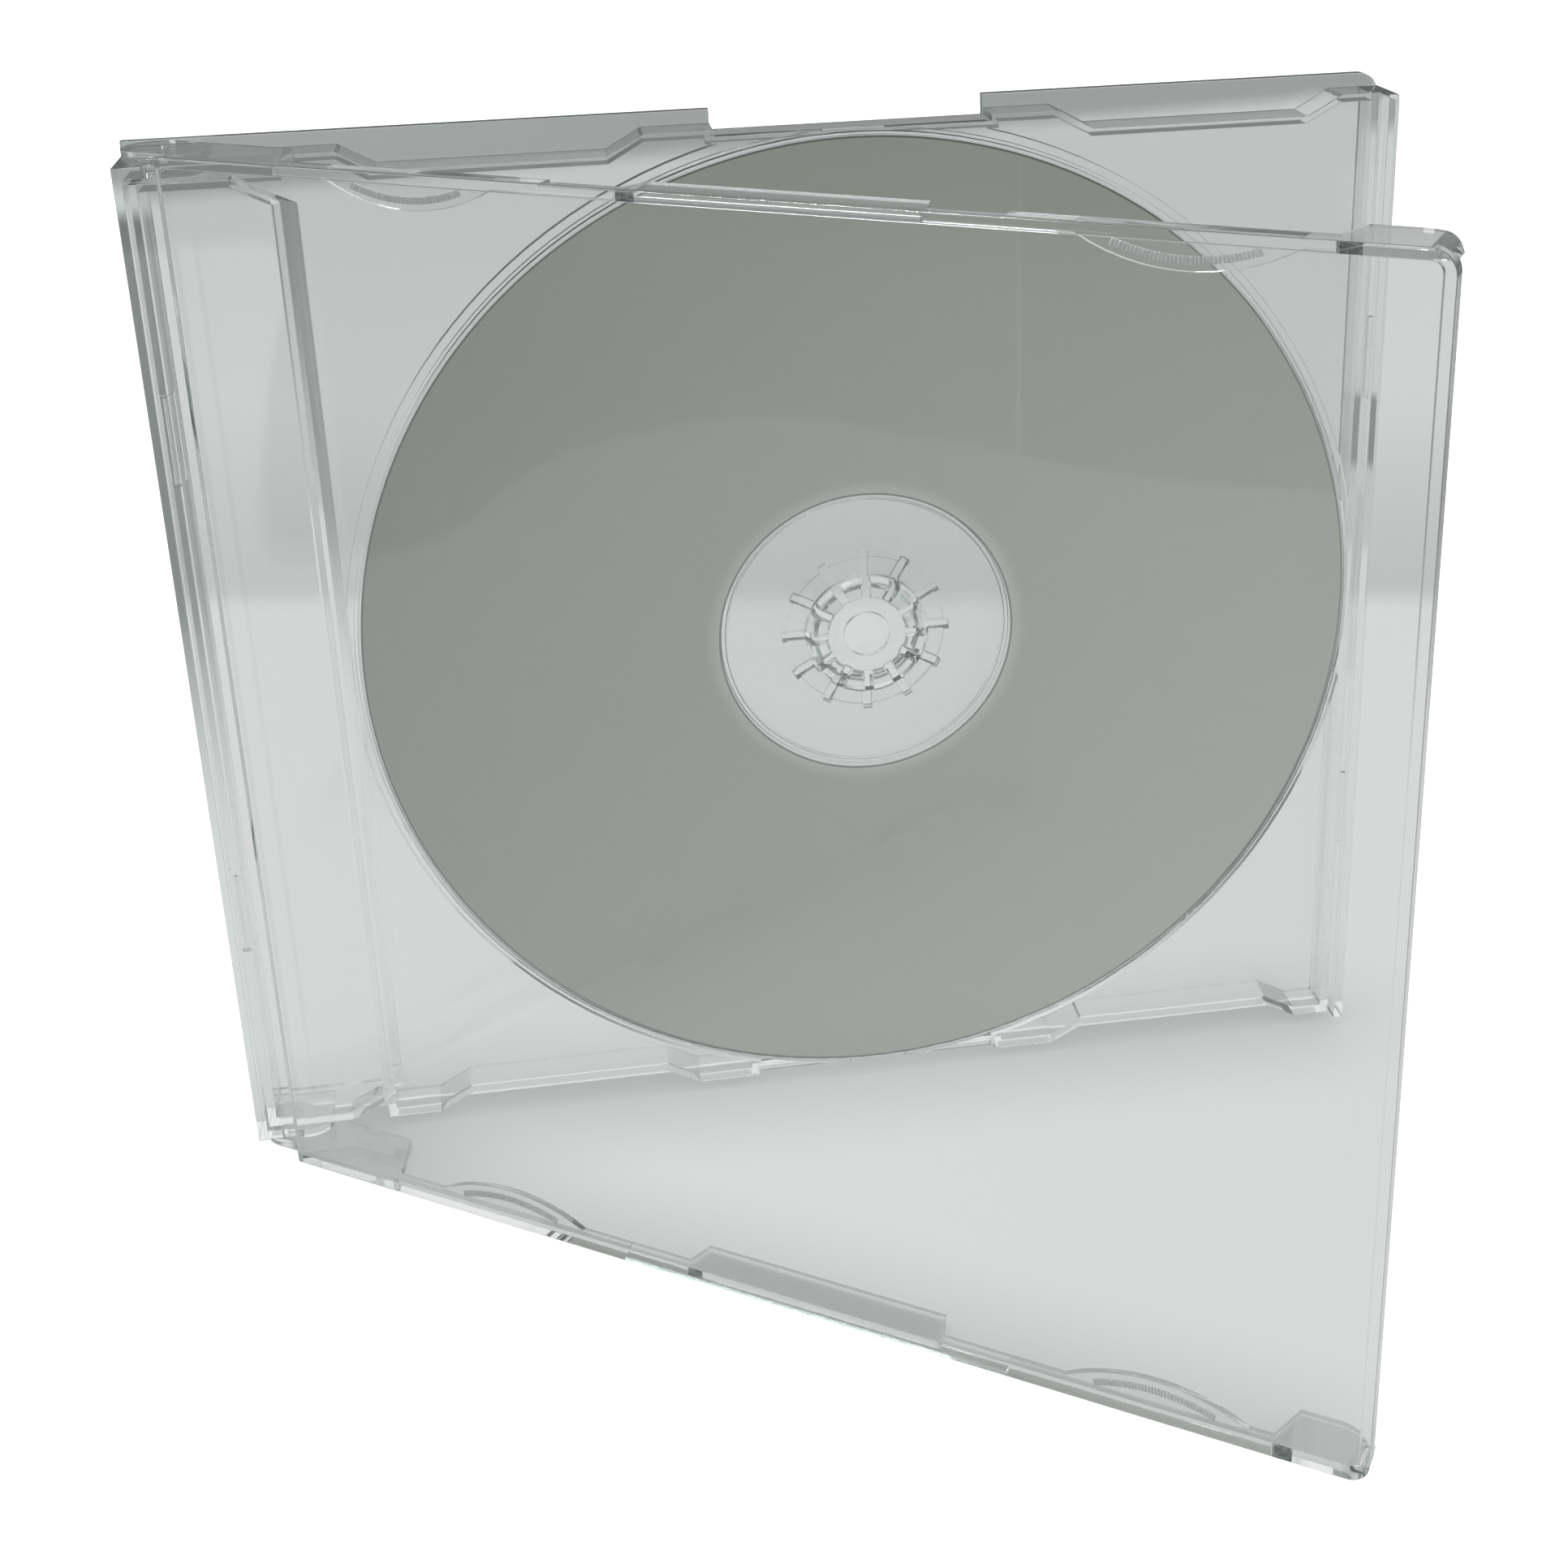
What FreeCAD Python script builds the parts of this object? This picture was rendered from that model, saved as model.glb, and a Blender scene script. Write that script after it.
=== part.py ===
import FreeCAD, Part
import math
import os
import Sketcher
from FreeCAD import Placement, Rotation, Vector

# Compact disc jewel case, standing on its long edge with the front cover swung open.
# It is four moulded pieces: the back cover with its two spines, the disc tray that
# clips into it, the disc on the tray's hub, and the front cover that turns on two pins.
#
# The covers and the tray are each drawn lying flat, as they come out of the mould:
# X runs from the hinge spine to the opening edge, Y along the case's height with 0 at
# half height, and Z out of the outer face. Placements then stand them up.

# Driving dimensions, in millimetres and degrees.
SIZES = {
    # covers
    "case_depth": 10.4,
    "back_panel": 1.2,
    "front_panel": 1.2,
    "cover_wall": 1.2,
    "side_gap": 0.3,
    "face_gap": 0.2,
    "rest_gap": 0.02,
    "corner_radius": 2.3,
    "notch_width": 31.2,
    "notch_depth": 2.7,
    "clip_length": 10.0,
    "clip_offset": 30.0,
    "clip_reach": 0.45,
    "clip_height": 0.6,
    "clip_gap": 0.1,
    # hinge
    "hinge_inset": 4.2,
    "pin_radius": 1.5,
    "pin_clearance": 0.05,
    "arm_gap": 0.5,
    "arm_length": 20.0,
    "ear_length": 9.6,
    "ear_radius": 3.0,
    "open_angle": 34.3,
    # front cover edges
    "rail_depth": 2.6,
    "lip_depth": 2.1,
    "end_depth": 7.0,
    "end_radius": 4.4,
    "end_slope": 1.6,
    "tongue_depth": 5.6,
    "tongue_gap": 0.8,
    "tongue_slope": 1.0,
    "arm_slope": 3.0,
    "grip_margin": 0.4,
    "grip_depth": 0.25,
    "grip_lip": 0.8,
    # booklet tabs of the front cover
    "tab_gap": 1.6,
    "tab_reach": 2.7,
    "tab_thickness": 0.7,
    # tray
    "tray_wall": 0.9,
    "tray_gap": 0.3,
    "tray_edge": 0.7,
    "booklet_room": 2.8,
    "recess_depth": 1.2,
    "recess_gap": 0.4,
    "disc_margin": 1.0,
    "notch_margin": 0.3,
    "notch_land": 7.7,
    "corner_land": 4.6,
    "bay_slope": 4.0,
    "bay_depth": 2.2,
    # raised strip of the tray
    "strip_gap": 0.4,
    "strip_width": 14.8,
    "strip_bevel": 1.4,
    "bevel_drop": 1.0,
    "strip_slope": 1.1,
    "strip_land": 0.2,
    "strip_corner": 6.6,
    "strip_fall": 3.3,
    "ear_gap": 0.6,
    # hub
    "finger_count": 12,
    "finger_wall": 0.8,
    "finger_gap": 0.15,
    "finger_lip": 0.1,
    "finger_rise": 1.1,
    "shoulder_drop": 0.9,
    "lip_drop": 0.65,
    "crown_drop": 0.15,
    "crown_radius": 0.5,
    "crown_fall": 0.3,
    "plate_radius": 4.7,
    "plate_slope": 0.3,
    "plate_drop": 0.8,
    "hub_opening": 2.8,
    "slit_width": 1.1,
    "slit_reach": 10.2,
    "seat_height": 0.4,
    "seat_inner": 9.6,
    "seat_outer": 16.8,
    # disc
    "disc_radius": 60.0,
    "disc_hole": 7.5,
    "disc_thickness": 1.2,
    "disc_edge": 0.15,
    "ring_inner": 17.0,
    "ring_width": 0.6,
    "ring_flank": 0.1,
    "ring_height": 0.2,
}

# Lengths worked out from the driving dimensions, written as sheet expressions.
# The disc sets the case's width and height, with the tray's edges and the walls around it.
SPINE_HALF = "(Size.disc_radius + Size.disc_margin)"
INNER_HALF = "(%s + Size.side_gap)" % SPINE_HALF
HALF_HEIGHT = "(%s + Size.cover_wall)" % INNER_HALF
RECESS_RADIUS = "(Size.disc_radius + Size.recess_gap)"
STRIP_FOOT = "-(%s + Size.strip_land)" % RECESS_RADIUS
STRIP_BEND = "(%s - Size.strip_slope)" % STRIP_FOOT
STRIP_TOP = "(%s - Size.strip_bevel)" % STRIP_BEND
TRAY_LEFT = "(%s - Size.strip_width)" % STRIP_TOP
TRAY_RIGHT = "(%s + Size.tray_edge)" % RECESS_RADIUS
STRIP_HALF = "(%s - Size.cover_wall - Size.ear_gap)" % SPINE_HALF
DISC_X = "(Size.cover_wall + Size.tray_gap - %s)" % TRAY_LEFT
CASE_WIDTH = "(%s + %s + Size.tray_gap + Size.cover_wall)" % (DISC_X, TRAY_RIGHT)
NOTCH_HALF = "(Size.notch_width / 2)"

# Bays for the booklet tabs, counted from the disc's centre towards either spine.
BAY_START = "(%s + Size.notch_land)" % NOTCH_HALF
BAY_INNER = "(%s + Size.bay_slope)" % BAY_START
BAY_END = "(%s - Size.corner_land)" % TRAY_RIGHT
BAY_OUTER = "(%s - Size.bay_slope)" % BAY_END
TAB_CENTRE = "((%s + %s) / 2)" % (BAY_INNER, BAY_OUTER)
TAB_LENGTH = "(%s - %s - 2 * Size.tab_gap)" % (BAY_OUTER, BAY_INNER)

# Heights: covers count from their outer face, the tray from its foot on the back panel.
HINGE_Z = "Size.case_depth / 2"
ARM_RADIUS = "(%s - Size.back_panel - Size.arm_gap)" % HINGE_Z
LID_EDGE = "(2 * Size.hinge_inset + Size.side_gap)"
CASE_ROOM = "(Size.case_depth - Size.back_panel - Size.front_panel - Size.rest_gap)"
RIM_HEIGHT = "(%s - Size.booklet_room)" % CASE_ROOM
STRIP_HEIGHT = "(%s - Size.strip_gap)" % CASE_ROOM
FLOOR = "(%s - Size.recess_depth)" % RIM_HEIGHT
UNDER_FLOOR = "(%s - Size.tray_wall)" % FLOOR
SEAT = "(%s + Size.seat_height)" % FLOOR
CROWN = "(%s + Size.disc_thickness + Size.finger_rise)" % SEAT
FINGER_RADIUS = "(Size.disc_hole - Size.finger_gap)"
CLIP_TOP = "(%s - Size.clip_height)" % FLOOR

doc = FreeCAD.newDocument("JewelCase")
sheet = doc.addObject("Spreadsheet::Sheet", "Size")
for row, (alias, number) in enumerate(SIZES.items(), start=1):
    sheet.set("A%d" % row, alias)
    sheet.set("B%d" % row, str(number))
    sheet.setAlias("B%d" % row, alias)
doc.recompute()


def value(expression):
    """Number that a sheet expression stands for."""
    result = sheet.evalExpression(expression)
    return float(getattr(result, "Value", result))


def new_body(name):
    body = doc.addObject("PartDesign::Body", name)
    body.Label = name
    return body


def datum(body, role):
    """Origin plane or axis of a body, by its role."""
    return next(item for item in body.Origin.OriginFeatures if item.Role == role)


def sketch_on(body, name, role, lift="0"):
    """Empty sketch on an origin plane of the body, lifted along the plane's normal."""
    sketch = body.newObject("Sketcher::SketchObject", name)
    sketch.AttachmentSupport = [(datum(body, role), "")]
    sketch.MapMode = "FlatFace"
    if lift != "0":
        sketch.setExpression("AttachmentOffset.Base.z", lift)
    return sketch


def bind(sketch, kind, geometry, point, expression):
    """Hold a point of the sketch at a distance from the sketch's origin."""
    if expression == "0":
        axis = -2 if kind == "DistanceX" else -1
        sketch.addConstraint(Sketcher.Constraint("PointOnObject", geometry, point, axis))
        return
    rule = Sketcher.Constraint(kind, -1, 1, geometry, point, value(expression))
    index = sketch.addConstraint(rule)
    sketch.setExpression("Constraints[%d]" % index, expression)


def bind_radius(sketch, geometry, expression):
    """Hold the radius of a circle or an arc."""
    index = sketch.addConstraint(Sketcher.Constraint("Radius", geometry, value(expression)))
    sketch.setExpression("Constraints[%d]" % index, expression)


def quarter_arc(start, end):
    """Quarter of a circle that turns left on its way from start to end."""
    chord = end - start
    outwards = Vector(chord.y, -chord.x, 0) * math.tan(math.radians(22.5)) / 2
    return Part.Arc(start, (start + end) / 2 + outwards, end)


def add_polygon(sketch, corners, rounds=None):
    """Closed outline through corners, each a pair of expressions.

    It runs counterclockwise in straight lines, or in a quarter circle from each corner
    that rounds gives a radius for.
    """
    rounds = rounds or {}
    points = [Vector(value(across), value(up), 0) for across, up in corners]
    first = sketch.GeometryCount
    count = len(points)
    for index in range(count):
        draw = quarter_arc if index in rounds else Part.LineSegment
        sketch.addGeometry(draw(points[index], points[(index + 1) % count]), False)
    for index in range(count):
        following = first + (index + 1) % count
        sketch.addConstraint(Sketcher.Constraint("Coincident", first + index, 2, following, 1))
    for index, (across, up) in enumerate(corners):
        bind(sketch, "DistanceX", first + index, 1, across)
        bind(sketch, "DistanceY", first + index, 1, up)
    for index, radius in rounds.items():
        bind_radius(sketch, first + index, radius)


def add_rectangle(sketch, left, right, low, high):
    add_polygon(sketch, [(left, low), (right, low), (right, high), (left, high)])


def add_circle(sketch, radius, across="0", up="0"):
    centre = Vector(value(across), value(up), 0)
    circle = Part.Circle(centre, Vector(0, 0, 1), value(radius))
    index = sketch.addGeometry(circle, False)
    bind(sketch, "DistanceX", index, 3, across)
    bind(sketch, "DistanceY", index, 3, up)
    bind_radius(sketch, index, radius)


def add_half_moon(sketch, centre, length, base, reach):
    """Segment of a circle that hangs by its chord from the line y = base."""
    left = "(%s - %s / 2)" % (centre, length)
    right = "(%s + %s / 2)" % (centre, length)
    radius = "((%s ^ 2 / 4 + %s ^ 2) / (2 * %s))" % (length, reach, reach)
    start = Vector(value(left), value(base), 0)
    end = Vector(value(right), value(base), 0)
    deepest = Vector(value(centre), value(base) - value(reach), 0)
    chord = sketch.addGeometry(Part.LineSegment(start, end), False)
    bow = sketch.addGeometry(Part.Arc(start, deepest, end), False)
    bind(sketch, "DistanceX", chord, 1, left)
    bind(sketch, "DistanceY", chord, 1, base)
    bind(sketch, "DistanceX", chord, 2, right)
    bind(sketch, "DistanceY", chord, 2, base)
    sketch.addConstraint(Sketcher.Constraint("Coincident", bow, 1, chord, 1))
    sketch.addConstraint(Sketcher.Constraint("Coincident", bow, 2, chord, 2))
    bind_radius(sketch, bow, radius)


def extrude(body, kind, sketch, name, length, backwards=False):
    """Pad or pocket of a sketch."""
    feature = body.newObject("PartDesign::" + kind, name)
    feature.Profile = sketch
    feature.setExpression("Length", length)
    feature.Reversed = backwards
    sketch.Visibility = False
    return feature


def pad(body, sketch, name, length, backwards=False):
    return extrude(body, "Pad", sketch, name, length, backwards)


def pocket(body, sketch, name, length, backwards=False):
    """Cut, checked to take material away."""
    doc.recompute()
    before = body.Shape.Volume
    feature = extrude(body, "Pocket", sketch, name, length, backwards)
    doc.recompute()
    if not body.Shape.Volume < before - 1e-6:
        raise RuntimeError(name + " cuts nothing")
    return feature


def revolve(body, sketch, name):
    """Full turn about the body's Z axis."""
    feature = body.newObject("PartDesign::Revolution", name)
    feature.Profile = sketch
    feature.ReferenceAxis = (sketch, ["V_Axis"])
    feature.Angle = 360.0
    return feature


def mirror(body, name, features):
    """Copies features to the other half of the case's height."""
    feature = body.newObject("PartDesign::Mirrored", name)
    feature.Originals = features
    feature.MirrorPlane = (datum(body, "XZ_Plane"), [""])
    body.Tip = feature
    return feature


def around(body, name, features, count):
    """Copies features evenly about the body's Z axis."""
    feature = body.newObject("PartDesign::PolarPattern", name)
    feature.Originals = features
    feature.Axis = (datum(body, "Z_Axis"), [""])
    feature.Angle = 360.0
    feature.setExpression("Occurrences", count)
    body.Tip = feature
    return feature


def edges_at(shape, direction, places):
    """Names of straight edges along a direction that pass through given places."""
    names = []
    for index, edge in enumerate(shape.Edges, start=1):
        if edge.Curve.TypeId != "Part::GeomLine":
            continue
        if abs(abs(edge.tangentAt(edge.FirstParameter).dot(direction)) - 1) > 1e-6:
            continue
        for place in places:
            offset = edge.valueAt(edge.FirstParameter) - place
            if (offset - direction * offset.dot(direction)).Length < 1e-4:
                names.append("Edge%d" % index)
    return names


def fillet(body, base, name, radius, direction, places):
    doc.recompute()
    names = edges_at(base.Shape, direction, places)
    if not names:
        raise RuntimeError(name + " finds no edge")
    feature = body.newObject("PartDesign::Fillet", name)
    feature.Base = (base, names)
    feature.setExpression("Radius", radius)
    return feature


def clip_rectangles(sketch, left, right, slack="0"):
    """One rectangle for each clip of a spine."""
    half = "(Size.clip_length / 2 + %s)" % slack
    for side in ("-", ""):
        centre = side + "Size.clip_offset"
        add_rectangle(sketch, left, right, "(%s - %s)" % (centre, half), "(%s + %s)" % (centre, half))


def cut_corner_outline(left, right, half, corner_x, corner_y):
    """Upright rectangle whose two right corners are cut off at a slant."""
    return [
        (left, "-" + half),
        (corner_x, "-" + half),
        (right, "-" + corner_y),
        (right, corner_y),
        (corner_x, half),
        (left, half),
    ]


def add_rounded_plan(sketch, left, right, half, radius):
    """Upright rectangle whose two right corners are rounded."""
    corner_x = "(%s - %s)" % (right, radius)
    corner_y = "(%s - %s)" % (half, radius)
    corners = cut_corner_outline(left, right, half, corner_x, corner_y)
    add_polygon(sketch, corners, {1: radius, 3: radius})


def round_free_corners(body, depth):
    """Trims everything that stands outside a cover's two rounded corners."""
    trim = sketch_on(body, body.Label + "_plan", "XY_Plane")
    margin = "Size.case_depth"
    outer_half = "(%s + %s)" % (HALF_HEIGHT, margin)
    add_rounded_plan(trim, "-" + margin, CASE_WIDTH, HALF_HEIGHT, "Size.corner_radius")
    add_rectangle(trim, "-2 * " + margin, "(%s + %s)" % (CASE_WIDTH, margin), "-" + outer_half, outer_half)
    pocket(body, trim, body.Label + "_corners", depth, backwards=True)


def back_cover():
    """Flat back with two spines that clip over the tray, and hinge ears at its corners."""
    body = new_body("back_cover")
    notch_start = "(%s - %s)" % (DISC_X, NOTCH_HALF)
    notch_end = "(%s + %s)" % (DISC_X, NOTCH_HALF)
    notch_bottom = "(%s - Size.notch_depth)" % HALF_HEIGHT
    upper = [
        ("0", HALF_HEIGHT),
        (notch_start, HALF_HEIGHT),
        (notch_start, notch_bottom),
        (notch_end, notch_bottom),
        (notch_end, HALF_HEIGHT),
        (CASE_WIDTH, HALF_HEIGHT),
    ]
    outline = sketch_on(body, "back_outline", "XY_Plane")
    add_polygon(outline, upper + [(x, "-" + y) for x, y in reversed(upper)])
    pad(body, outline, "back_panel", "Size.back_panel")

    hinge_spine = sketch_on(body, "hinge_spine_outline", "XY_Plane")
    add_rectangle(hinge_spine, "0", "Size.cover_wall", "-" + SPINE_HALF, SPINE_HALF)
    pad(body, hinge_spine, "hinge_spine", "Size.case_depth - Size.front_panel - Size.face_gap")

    inner_face = "(%s - Size.cover_wall)" % CASE_WIDTH
    free_spine = sketch_on(body, "free_spine_outline", "XY_Plane")
    add_rectangle(free_spine, inner_face, CASE_WIDTH, "-" + SPINE_HALF, SPINE_HALF)
    pad(body, free_spine, "free_spine", "Size.case_depth - Size.lip_depth - Size.side_gap")

    rim_top = "Size.back_panel + Size.rest_gap + %s + Size.clip_gap" % RIM_HEIGHT
    rim_clips = sketch_on(body, "rim_clip_outline", "XY_Plane", rim_top)
    clip_rectangles(rim_clips, "(%s - Size.clip_reach)" % inner_face, inner_face)
    pad(body, rim_clips, "rim_clips", "Size.clip_height")

    clip_top = "Size.back_panel + Size.rest_gap + %s - Size.clip_gap" % CLIP_TOP
    strip_clips = sketch_on(body, "strip_clip_outline", "XY_Plane", clip_top)
    clip_rectangles(strip_clips, "Size.cover_wall", "(Size.cover_wall + Size.clip_reach)")
    pad(body, strip_clips, "strip_clips", "Size.clip_height", backwards=True)

    ear_height = "Size.case_depth - Size.front_panel - 2 * Size.face_gap"
    ear_outline = sketch_on(body, "ear_outline", "XZ_Plane", "-" + SPINE_HALF)
    add_rectangle(ear_outline, "0", "Size.ear_length", "0", ear_height)
    ear = pad(body, ear_outline, "ear", "Size.cover_wall")
    mirror(body, "ears", [ear])
    ear_corner = Vector(value("Size.ear_length"), 0, value(ear_height))
    fillet(body, body.Tip, "ear_corners", "Size.ear_radius", Vector(0, 1, 0), [ear_corner])

    hole = sketch_on(body, "pin_hole_outline", "XZ_Plane", "-" + SPINE_HALF)
    add_circle(hole, "Size.pin_radius + Size.pin_clearance", "Size.hinge_inset", HINGE_Z)
    pocket(body, hole, "pin_holes", "2 * " + SPINE_HALF, backwards=True)
    round_free_corners(body, "Size.case_depth")
    return body


def tray_outline(inset="0"):
    """Plan of the tray's rim, with bays for the booklet tabs and a notch at each side."""
    strip_end = "(%s + Size.strip_land)" % STRIP_TOP
    bay_bottom = "(%s - Size.bay_depth)" % SPINE_HALF
    notch_bottom = "(Size.disc_radius + Size.notch_margin)"
    upper = [
        (TRAY_LEFT, STRIP_HALF, 1),
        (strip_end, STRIP_HALF, 1),
        (strip_end, SPINE_HALF, 1),
        ("-" + BAY_END, SPINE_HALF, 0),
        ("-" + BAY_OUTER, bay_bottom, 0),
        ("-" + BAY_INNER, bay_bottom, 0),
        ("-" + BAY_START, SPINE_HALF, 0),
        ("-" + NOTCH_HALF, SPINE_HALF, -1),
        ("-" + NOTCH_HALF, notch_bottom, -1),
        (NOTCH_HALF, notch_bottom, 1),
        (NOTCH_HALF, SPINE_HALF, 1),
        (BAY_START, SPINE_HALF, 0),
        (BAY_INNER, bay_bottom, 0),
        (BAY_OUTER, bay_bottom, 0),
        (BAY_END, SPINE_HALF, 0),
        (TRAY_RIGHT, SPINE_HALF, -1),
    ]
    moved = [("(%s + %d * %s)" % (x, way, inset), "(%s - %s)" % (y, inset)) for x, y, way in upper]
    return moved + [(x, "-" + y) for x, y in reversed(moved)]


def add_strip(body):
    """Raised strip beside the hinge spine, bevelled towards the disc."""
    corner_x = "(%s - Size.strip_corner)" % STRIP_FOOT
    corner_y = "(%s - Size.strip_fall)" % STRIP_HALF
    plan = sketch_on(body, "strip_outline", "XY_Plane")
    add_polygon(plan, cut_corner_outline(TRAY_LEFT, STRIP_FOOT, STRIP_HALF, corner_x, corner_y))
    pad(body, plan, "strip", STRIP_HEIGHT)

    bevel = sketch_on(body, "bevel_section", "XZ_Plane", "-" + STRIP_HALF)
    add_polygon(bevel, [
        (STRIP_TOP, STRIP_HEIGHT),
        (STRIP_BEND, "(%s - Size.bevel_drop)" % STRIP_HEIGHT),
        (STRIP_FOOT, RIM_HEIGHT),
        ("(%s + Size.strip_land)" % STRIP_FOOT, RIM_HEIGHT),
        ("(%s + Size.strip_land)" % STRIP_FOOT, STRIP_HEIGHT),
    ])
    pocket(body, bevel, "bevel", "2 * " + STRIP_HALF, backwards=True)


def add_strip_hollow(body):
    """Hollow under the raised strip, a wall's thickness inside it, with clip windows."""
    slant = "sqrt(Size.strip_corner ^ 2 + Size.strip_fall ^ 2)"
    half = "(%s - Size.tray_wall)" % STRIP_HALF
    along = "(Size.tray_wall * (Size.strip_corner - %s) / Size.strip_fall)" % slant
    corner_x = "(%s - Size.strip_corner + %s)" % (STRIP_FOOT, along)
    down = "((Size.strip_fall * (%s - %s) - Size.tray_wall * %s) / Size.strip_corner)"
    corner_y = "(%s - Size.strip_fall + %s)" % (STRIP_HALF, down % (STRIP_FOOT, STRIP_TOP, slant))
    left = "(%s + Size.tray_wall)" % TRAY_LEFT
    plan = sketch_on(body, "strip_hollow_outline", "XY_Plane")
    add_polygon(plan, cut_corner_outline(left, STRIP_TOP, half, corner_x, corner_y))
    pocket(body, plan, "strip_hollow", STRIP_HEIGHT + " - Size.tray_wall", backwards=True)

    windows = sketch_on(body, "clip_window_outline", "XY_Plane", CLIP_TOP)
    clip_rectangles(windows, TRAY_LEFT, left, "Size.tray_gap")
    pocket(body, windows, "clip_windows", "Size.clip_height + 2 * Size.clip_gap")


def add_hub(body):
    """Ring of sprung fingers that grips the disc, and the seat it lies on."""
    seat = sketch_on(body, "seat_outline", "XY_Plane", FLOOR)
    add_circle(seat, "Size.seat_outer")
    add_circle(seat, "Size.seat_inner")
    pad(body, seat, "seat", "Size.seat_height")

    inner = "(%s - Size.finger_wall)" % FINGER_RADIUS
    well = sketch_on(body, "hub_well_outline", "XY_Plane", FLOOR)
    add_circle(well, inner)
    pocket(body, well, "hub_well", "Size.tray_wall")

    lip = "(%s + Size.finger_lip)" % FINGER_RADIUS
    bowl = "(Size.plate_radius + Size.plate_slope)"
    plate = "(%s - Size.plate_drop)" % CROWN
    inside = "(%s - Size.finger_wall)" % plate
    section = sketch_on(body, "finger_section", "XZ_Plane")
    add_polygon(section, [
        (FINGER_RADIUS, UNDER_FLOOR),
        (FINGER_RADIUS, "(%s - Size.shoulder_drop)" % CROWN),
        (lip, "(%s - Size.lip_drop)" % CROWN),
        ("(%s - Size.crown_radius / 2)" % lip, "(%s - Size.crown_drop)" % CROWN),
        ("(%s - Size.crown_radius)" % lip, CROWN),
        (bowl, "(%s - Size.crown_fall)" % CROWN),
        ("Size.plate_radius", plate),
        ("Size.hub_opening", plate),
        ("Size.hub_opening", inside),
        ("(%s - Size.crown_radius)" % inner, inside),
        (inner, "(%s - Size.crown_radius)" % inside),
        (inner, UNDER_FLOOR),
    ])
    revolve(body, section, "finger_ring")

    slit_top = "(%s + Size.tray_wall)" % CROWN
    slit_outline = sketch_on(body, "slit_outline", "XY_Plane", slit_top)
    half_slit = "Size.slit_width / 2"
    add_rectangle(slit_outline, "Size.plate_radius", "Size.slit_reach", "-" + half_slit, half_slit)
    slit = pocket(body, slit_outline, "slit", slit_top)
    around(body, "slits", [slit], "Size.finger_count")


def disc_tray():
    """Thin moulded tray: rim, raised strip, round recess and hub, open underneath."""
    body = new_body("disc_tray")
    rim = sketch_on(body, "rim_outline", "XY_Plane")
    add_polygon(rim, tray_outline())
    pad(body, rim, "rim", RIM_HEIGHT)
    add_strip(body)

    under = sketch_on(body, "underside_outline", "XY_Plane")
    add_polygon(under, tray_outline("Size.tray_wall"))
    pocket(body, under, "underside", RIM_HEIGHT + " - Size.tray_wall", backwards=True)
    add_strip_hollow(body)

    drum = sketch_on(body, "drum_outline", "XY_Plane", UNDER_FLOOR)
    add_circle(drum, "(%s + Size.tray_wall)" % RECESS_RADIUS)
    pad(body, drum, "drum", "Size.recess_depth + Size.tray_wall")

    recess = sketch_on(body, "recess_outline", "XY_Plane", RIM_HEIGHT)
    add_circle(recess, RECESS_RADIUS)
    pocket(body, recess, "recess", "Size.recess_depth")

    frame = sketch_on(body, "trim_outline", "XY_Plane", RIM_HEIGHT)
    add_polygon(frame, tray_outline())
    margin = "(2 * Size.disc_radius)"
    add_rectangle(frame, "-" + margin, margin, "-" + margin, margin)
    pocket(body, frame, "trim", RIM_HEIGHT)

    add_hub(body)
    return body


def disc():
    """Flat ring with a raised stacking ring on its underside."""
    body = new_body("disc")
    ring_outer = "(Size.ring_inner + Size.ring_width)"
    section = sketch_on(body, "disc_section", "XZ_Plane")
    add_polygon(section, [
        ("Size.disc_hole", "0"),
        ("Size.ring_inner", "0"),
        ("(Size.ring_inner + Size.ring_flank)", "-Size.ring_height"),
        ("(%s - Size.ring_flank)" % ring_outer, "-Size.ring_height"),
        (ring_outer, "0"),
        ("(Size.disc_radius - Size.disc_edge)", "0"),
        ("Size.disc_radius", "Size.disc_edge"),
        ("Size.disc_radius", "(Size.disc_thickness - Size.disc_edge)"),
        ("(Size.disc_radius - Size.disc_edge)", "Size.disc_thickness"),
        ("Size.disc_hole", "Size.disc_thickness"),
    ])
    revolve(body, section, "disc_blank")
    return body


def rail_profile():
    """Side wall of the front cover: hinge arm, low rail, middle tongue, deep end."""
    tab_end = "(%s + %s + %s / 2)" % (DISC_X, TAB_CENTRE, TAB_LENGTH)
    tongue_half = "(%s - Size.tongue_gap)" % NOTCH_HALF
    tongue_start = "(%s - %s)" % (DISC_X, tongue_half)
    tongue_end = "(%s + %s)" % (DISC_X, tongue_half)
    arm_front = "(%s - %s)" % (HINGE_Z, ARM_RADIUS)
    arm_back = "(%s + %s)" % (HINGE_Z, ARM_RADIUS)
    return [
        (LID_EDGE, "0"),
        (CASE_WIDTH, "0"),
        (CASE_WIDTH, "Size.end_depth"),
        ("(%s + 2 * Size.end_slope)" % tab_end, "Size.end_depth"),
        ("(%s + Size.end_slope)" % tab_end, "Size.rail_depth"),
        ("(%s + Size.tongue_slope)" % tongue_end, "Size.rail_depth"),
        (tongue_end, "Size.tongue_depth"),
        (tongue_start, "Size.tongue_depth"),
        ("(%s - Size.tongue_slope)" % tongue_start, "Size.rail_depth"),
        ("(Size.arm_length + Size.arm_slope)", "Size.rail_depth"),
        ("Size.arm_length", arm_back),
        ("Size.hinge_inset", arm_back),
        ("Size.hinge_inset", arm_front),
        (LID_EDGE, arm_front),
    ]


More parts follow.
